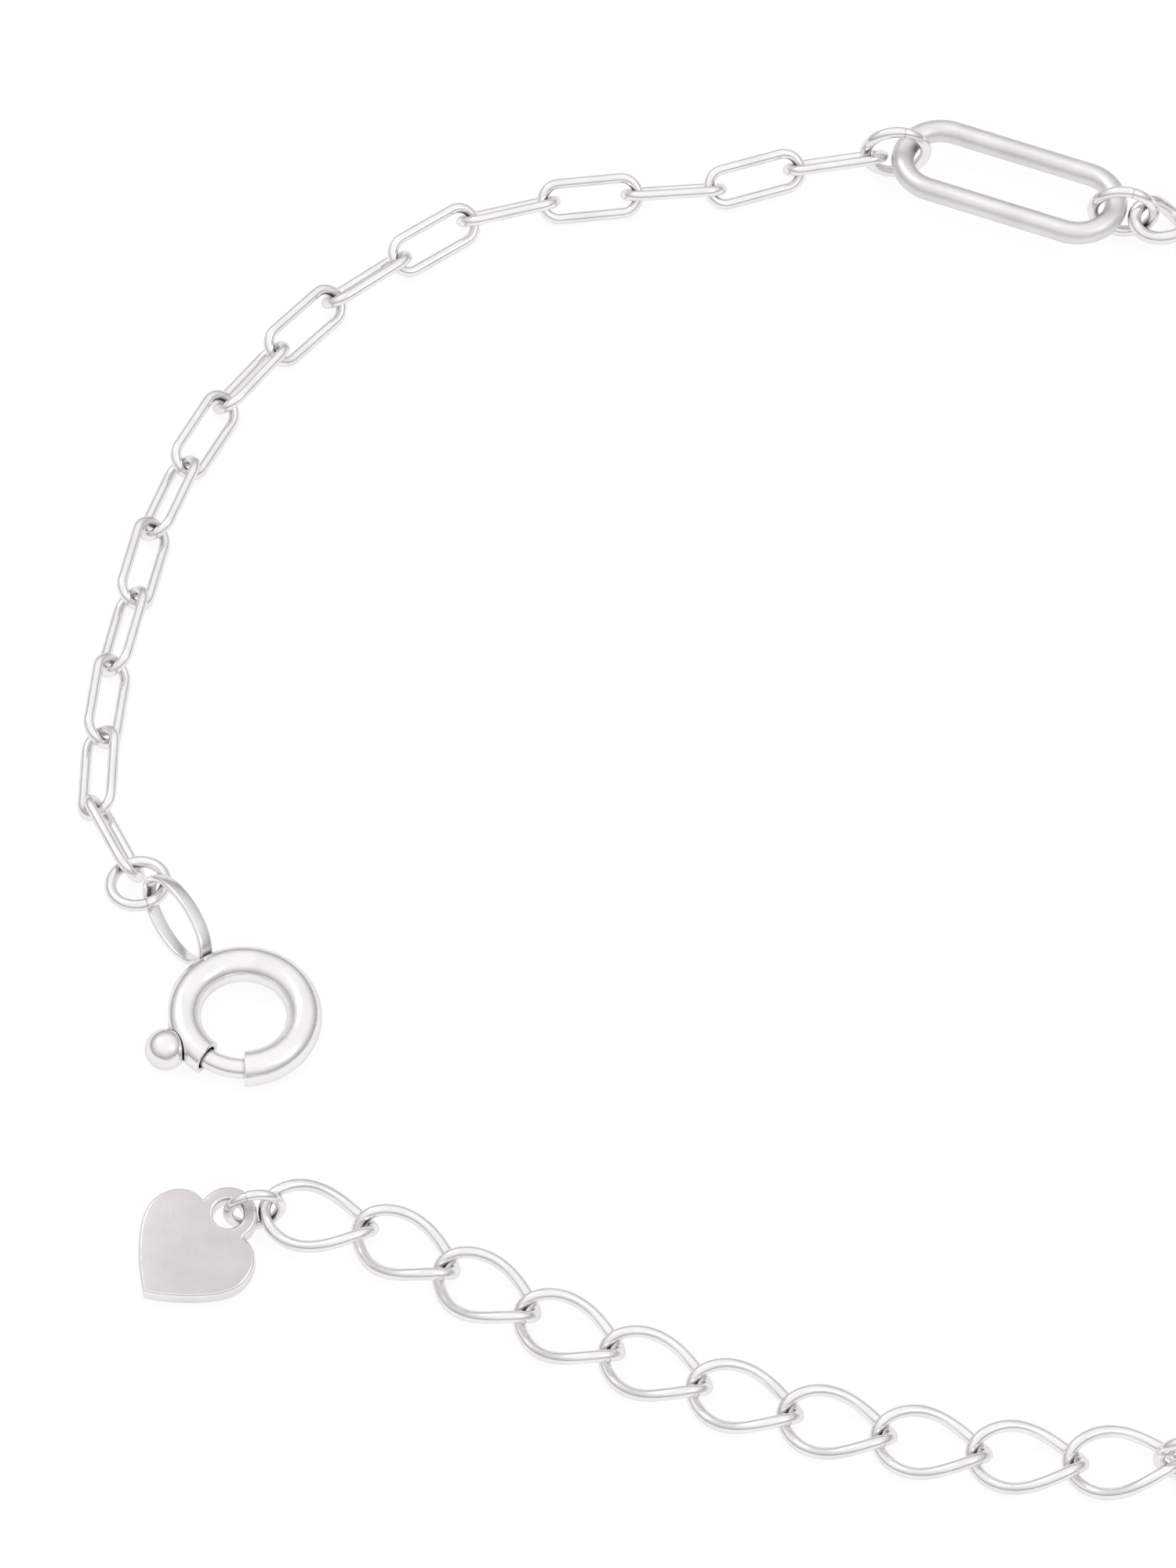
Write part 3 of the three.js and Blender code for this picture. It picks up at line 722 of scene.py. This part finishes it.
def add_clasp():
    place = clasp_frame()
    changes = [(slot_cutter(), "DIFFERENCE"), (tail_loop(), "UNION")]
    case = combined("case_shell", bent_solid(case_stations()), changes)
    finish_mesh(case, polished, CLASP_CREASE)
    add_piece("silver_clasp_case", case, place, "clasp_case")
    reach = CASE_RADIUS + CASE_TUBE + KNOB_RADIUS - KNOB_SINK
    knob = ball(KNOB_RADIUS, heading_of(KNOB_ANGLE) * reach)
    rod = bent_solid(rod_stations(KNOB_ANGLE - BOLT_TAIL, MOUTH_RIGHT + BOLT_SEAT, BOLT_RADIUS))
    seated = combined("knob", knob, [(clearance(), "DIFFERENCE"), (stem(), "UNION"), (rod, "UNION")])
    finish_mesh(seated, polished, CLASP_CREASE)
    add_piece("silver_clasp_bolt", seated, place, "clasp_bolt", body="bolt")


add_clasp()


# The heart tag
HEART_STEPS = 28  # along each of its curves
EAR_STEPS = 40
HOLE_STEPS = 64
EDGE_STEPS = 5  # round the tag's edges
FLAT_ENOUGH = 0.9  # a face's upward share at which it belongs to the satin top or underside
LONGEST_MITRE = 0.5  # as the least cosine that an inset corner is stretched by


def bezier(corners, steps):
    """Points of a cubic curve after its first end."""
    a, b, c, d = (np.array(corner) for corner in corners)
    return [
        a * (1 - t) ** 3 + 3 * b * t * (1 - t) ** 2 + 3 * c * t * t * (1 - t) + d * t**3
        for t in np.arange(1, steps + 1) / steps
    ]


def tag_outline():
    """The heart and its ear as one closed line, from the tip round the right side."""
    corners = [
        (row["side"] * TAG_HALF_WIDTH, row["up"] * TAG_LENGTH - TAG_HOLE_TO_TIP)
        for row in HEART_HALF
    ]
    right = [np.array(corners[0])]
    for first in range(0, len(corners) - 1, 3):
        right += bezier(corners[first : first + 4], HEART_STEPS)
    heart = []
    for point in right:
        if np.linalg.norm(point) < TAG_EAR and heart:
            break
        heart.append(point)
    start = math.atan2(heart[-1][1], heart[-1][0])
    turns = np.linspace(start, math.pi / 2, EAR_STEPS)[1:]
    arc = [TAG_EAR * np.array((math.cos(t), math.sin(t))) for t in turns]
    half = heart + arc
    other = [point * (-1, 1) for point in reversed(half[1:-1])]
    return np.array(half + other)


def inset(outline, distance):
    """A closed line moved inwards, its corners mitred."""
    before = unit(outline - np.roll(outline, 1, 0))
    after = unit(np.roll(outline, -1, 0) - outline)
    left = unit(np.stack((-before[:, 1] - after[:, 1], before[:, 0] + after[:, 0]), 1))
    cosine = np.clip((before * after).sum(1), -1, 1)
    stretch = 1 / np.sqrt((1 + cosine) / 2).clip(LONGEST_MITRE)
    return outline + left * (distance * stretch)[:, None]


def tag_mesh():
    outer = tag_outline()
    angle = np.arange(HOLE_STEPS) / HOLE_STEPS * 2 * math.pi
    hole = TAG_HOLE_RADIUS * np.stack((np.cos(angle), -np.sin(angle)), 1)
    solid = bmesh.new()
    lids = {"top": [], "bottom": []}
    for outline in (outer, hole):
        rows = []
        for step in range(EDGE_STEPS + 1):
            turn = math.pi / 2 * step / EDGE_STEPS
            inwards = TAG_ROUND * (1 - math.sin(turn))
            height = TAG_ROUND * (1 - math.cos(turn))
            rows.append((inwards, height))
        rows = rows + [(inwards, TAG_THICKNESS - height) for inwards, height in reversed(rows)]
        rings = []
        for inwards, height in rows:
            line = inset(outline, inwards)
            rings.append([solid.verts.new((x, y, height)) for x, y in line])
        for low, high in zip(rings, rings[1:]):
            for side in range(len(low)):
                beside = (side + 1) % len(low)
                solid.faces.new((low[side], low[beside], high[beside], high[side]))
        lids["bottom"].append(rings[0])
        lids["top"].append(rings[-1])
    for rings in lids.values():
        edges = []
        for ring in rings:
            for side in range(len(ring)):
                edges.append(solid.edges.get((ring[side], ring[(side + 1) % len(ring)])))
        bmesh.ops.triangle_fill(solid, edges=edges, use_beauty=True)
    bmesh.ops.recalc_face_normals(solid, faces=solid.faces)
    mesh = bpy.data.meshes.new("heart_plate")
    solid.to_mesh(mesh)
    solid.free()
    return mesh


def tag_frame():
    case = Vector(frame["joints"][0]["pos_m"])
    hole = Vector((case.x + TAG_HOLE["x"], case.y + TAG_HOLE["y"], TAG_HOLE["z"]))
    up = -Vector(frame["record"]["mounts"][0]["axis"]).normalized()
    lean = Vector((0, 0, 1)).rotation_difference(up).to_matrix().to_4x4()
    turn = Matrix.Rotation(TAG_HEADING - math.pi / 2, 4, "Z")
    return Matrix.Translation(hole) @ lean @ turn


def add_tag():
    mesh = tag_mesh()
    finish_mesh(mesh, satin, TAG_CREASE)
    mesh.materials.append(polished)
    for face in mesh.polygons:
        face.material_index = int(abs(face.normal.z) < FLAT_ENOUGH)
    add_piece("satin_heart_tag", mesh, tag_frame(), "heart_tag")


add_tag()


# Floor, light and camera
FLOOR_HALF = 1.5
FLOOR_TONE = (0.12, 0.12, 0.12, 1)
FLOOR_GLOW = 0.89


def add_floor():
    half = FLOOR_HALF
    corners = [(-half, -half, 0), (half, -half, 0), (half, half, 0), (-half, half, 0)]
    mesh = bpy.data.meshes.new("floor")
    mesh.from_pydata(corners, [], [(0, 1, 2, 3)])
    floor = bpy.data.objects.new("floor", mesh)
    bpy.context.scene.collection.objects.link(floor)
    material, nodes, links, shader = new_material("white_floor")
    shader.inputs["Base Color"].default_value = FLOOR_TONE
    shader.inputs["Roughness"].default_value = 0.9
    shader.inputs["Specular IOR Level"].default_value = 0.1
    shader.inputs["Emission Color"].default_value = (1, 1, 1, 1)
    shader.inputs["Emission Strength"].default_value = FLOOR_GLOW
    mesh.materials.append(material)


SKY = (  # brightness of the surroundings by height: -1 straight down, 1 straight up
    {"height": 0.0, "light": 0.45},
    {"height": 0.12, "light": 0.42},
    {"height": 0.4, "light": 0.75},
    {"height": 0.7, "light": 1.05},
    {"height": 1.0, "light": 1.1},
)


def add_world():
    world = bpy.data.worlds.new("studio")
    bpy.context.scene.world = world
    world.use_nodes = True
    nodes, links = world.node_tree.nodes, world.node_tree.links
    coordinates = nodes.new("ShaderNodeTexCoord")
    split = nodes.new("ShaderNodeSeparateXYZ")
    ramp = nodes.new("ShaderNodeValToRGB")
    links.new(coordinates.outputs["Generated"], split.inputs["Vector"])
    links.new(split.outputs["Z"], ramp.inputs["Fac"])
    elements = ramp.color_ramp.elements
    for row in SKY[1:-1]:
        elements.new(row["height"])
    for element, row in zip(elements, SKY):
        element.position = row["height"]
        element.color = (row["light"], row["light"], row["light"], 1)
    links.new(ramp.outputs["Color"], nodes["Background"].inputs["Color"])
    nodes["Background"].inputs["Strength"].default_value = 1.0


def add_light(name, place, size, power, target=(0, 0, 0)):
    light = bpy.data.lights.new(name, "AREA")
    light.shape = "RECTANGLE"
    light.size, light.size_y = size
    light.energy = power
    lamp = bpy.data.objects.new(name, light)
    bpy.context.scene.collection.objects.link(lamp)
    lamp.location = place
    lamp.rotation_mode = "QUATERNION"
    lamp.rotation_quaternion = (Vector(target) - Vector(place)).to_track_quat("-Z", "Y")


def add_camera():
    data = bpy.data.cameras.new("camera")
    camera = bpy.data.objects.new("camera", data)
    bpy.context.scene.collection.objects.link(camera)
    data.sensor_width = SENSOR
    data.lens = FOCAL_PX * SENSOR / IMAGE_HEIGHT_PX
    data.clip_start, data.clip_end = 0.01, 10
    back = Vector((0, -math.cos(CAMERA_ELEVATION), math.sin(CAMERA_ELEVATION)))
    camera.location = CAMERA_TARGET + back * CAMERA_DISTANCE
    camera.rotation_mode = "QUATERNION"
    camera.rotation_quaternion = (-back).to_track_quat("-Z", "Y")
    bpy.context.scene.camera = camera


add_floor()
add_world()
add_light("key", (-0.5, 0.35, 0.8), (0.3, 0.3), 1.2)
add_light("fill", (0.6, -0.3, 0.7), (0.3, 0.3), 0.6)
add_camera()
bpy.context.scene.view_settings.view_transform = "Standard"

bpy.context.view_layer.update()
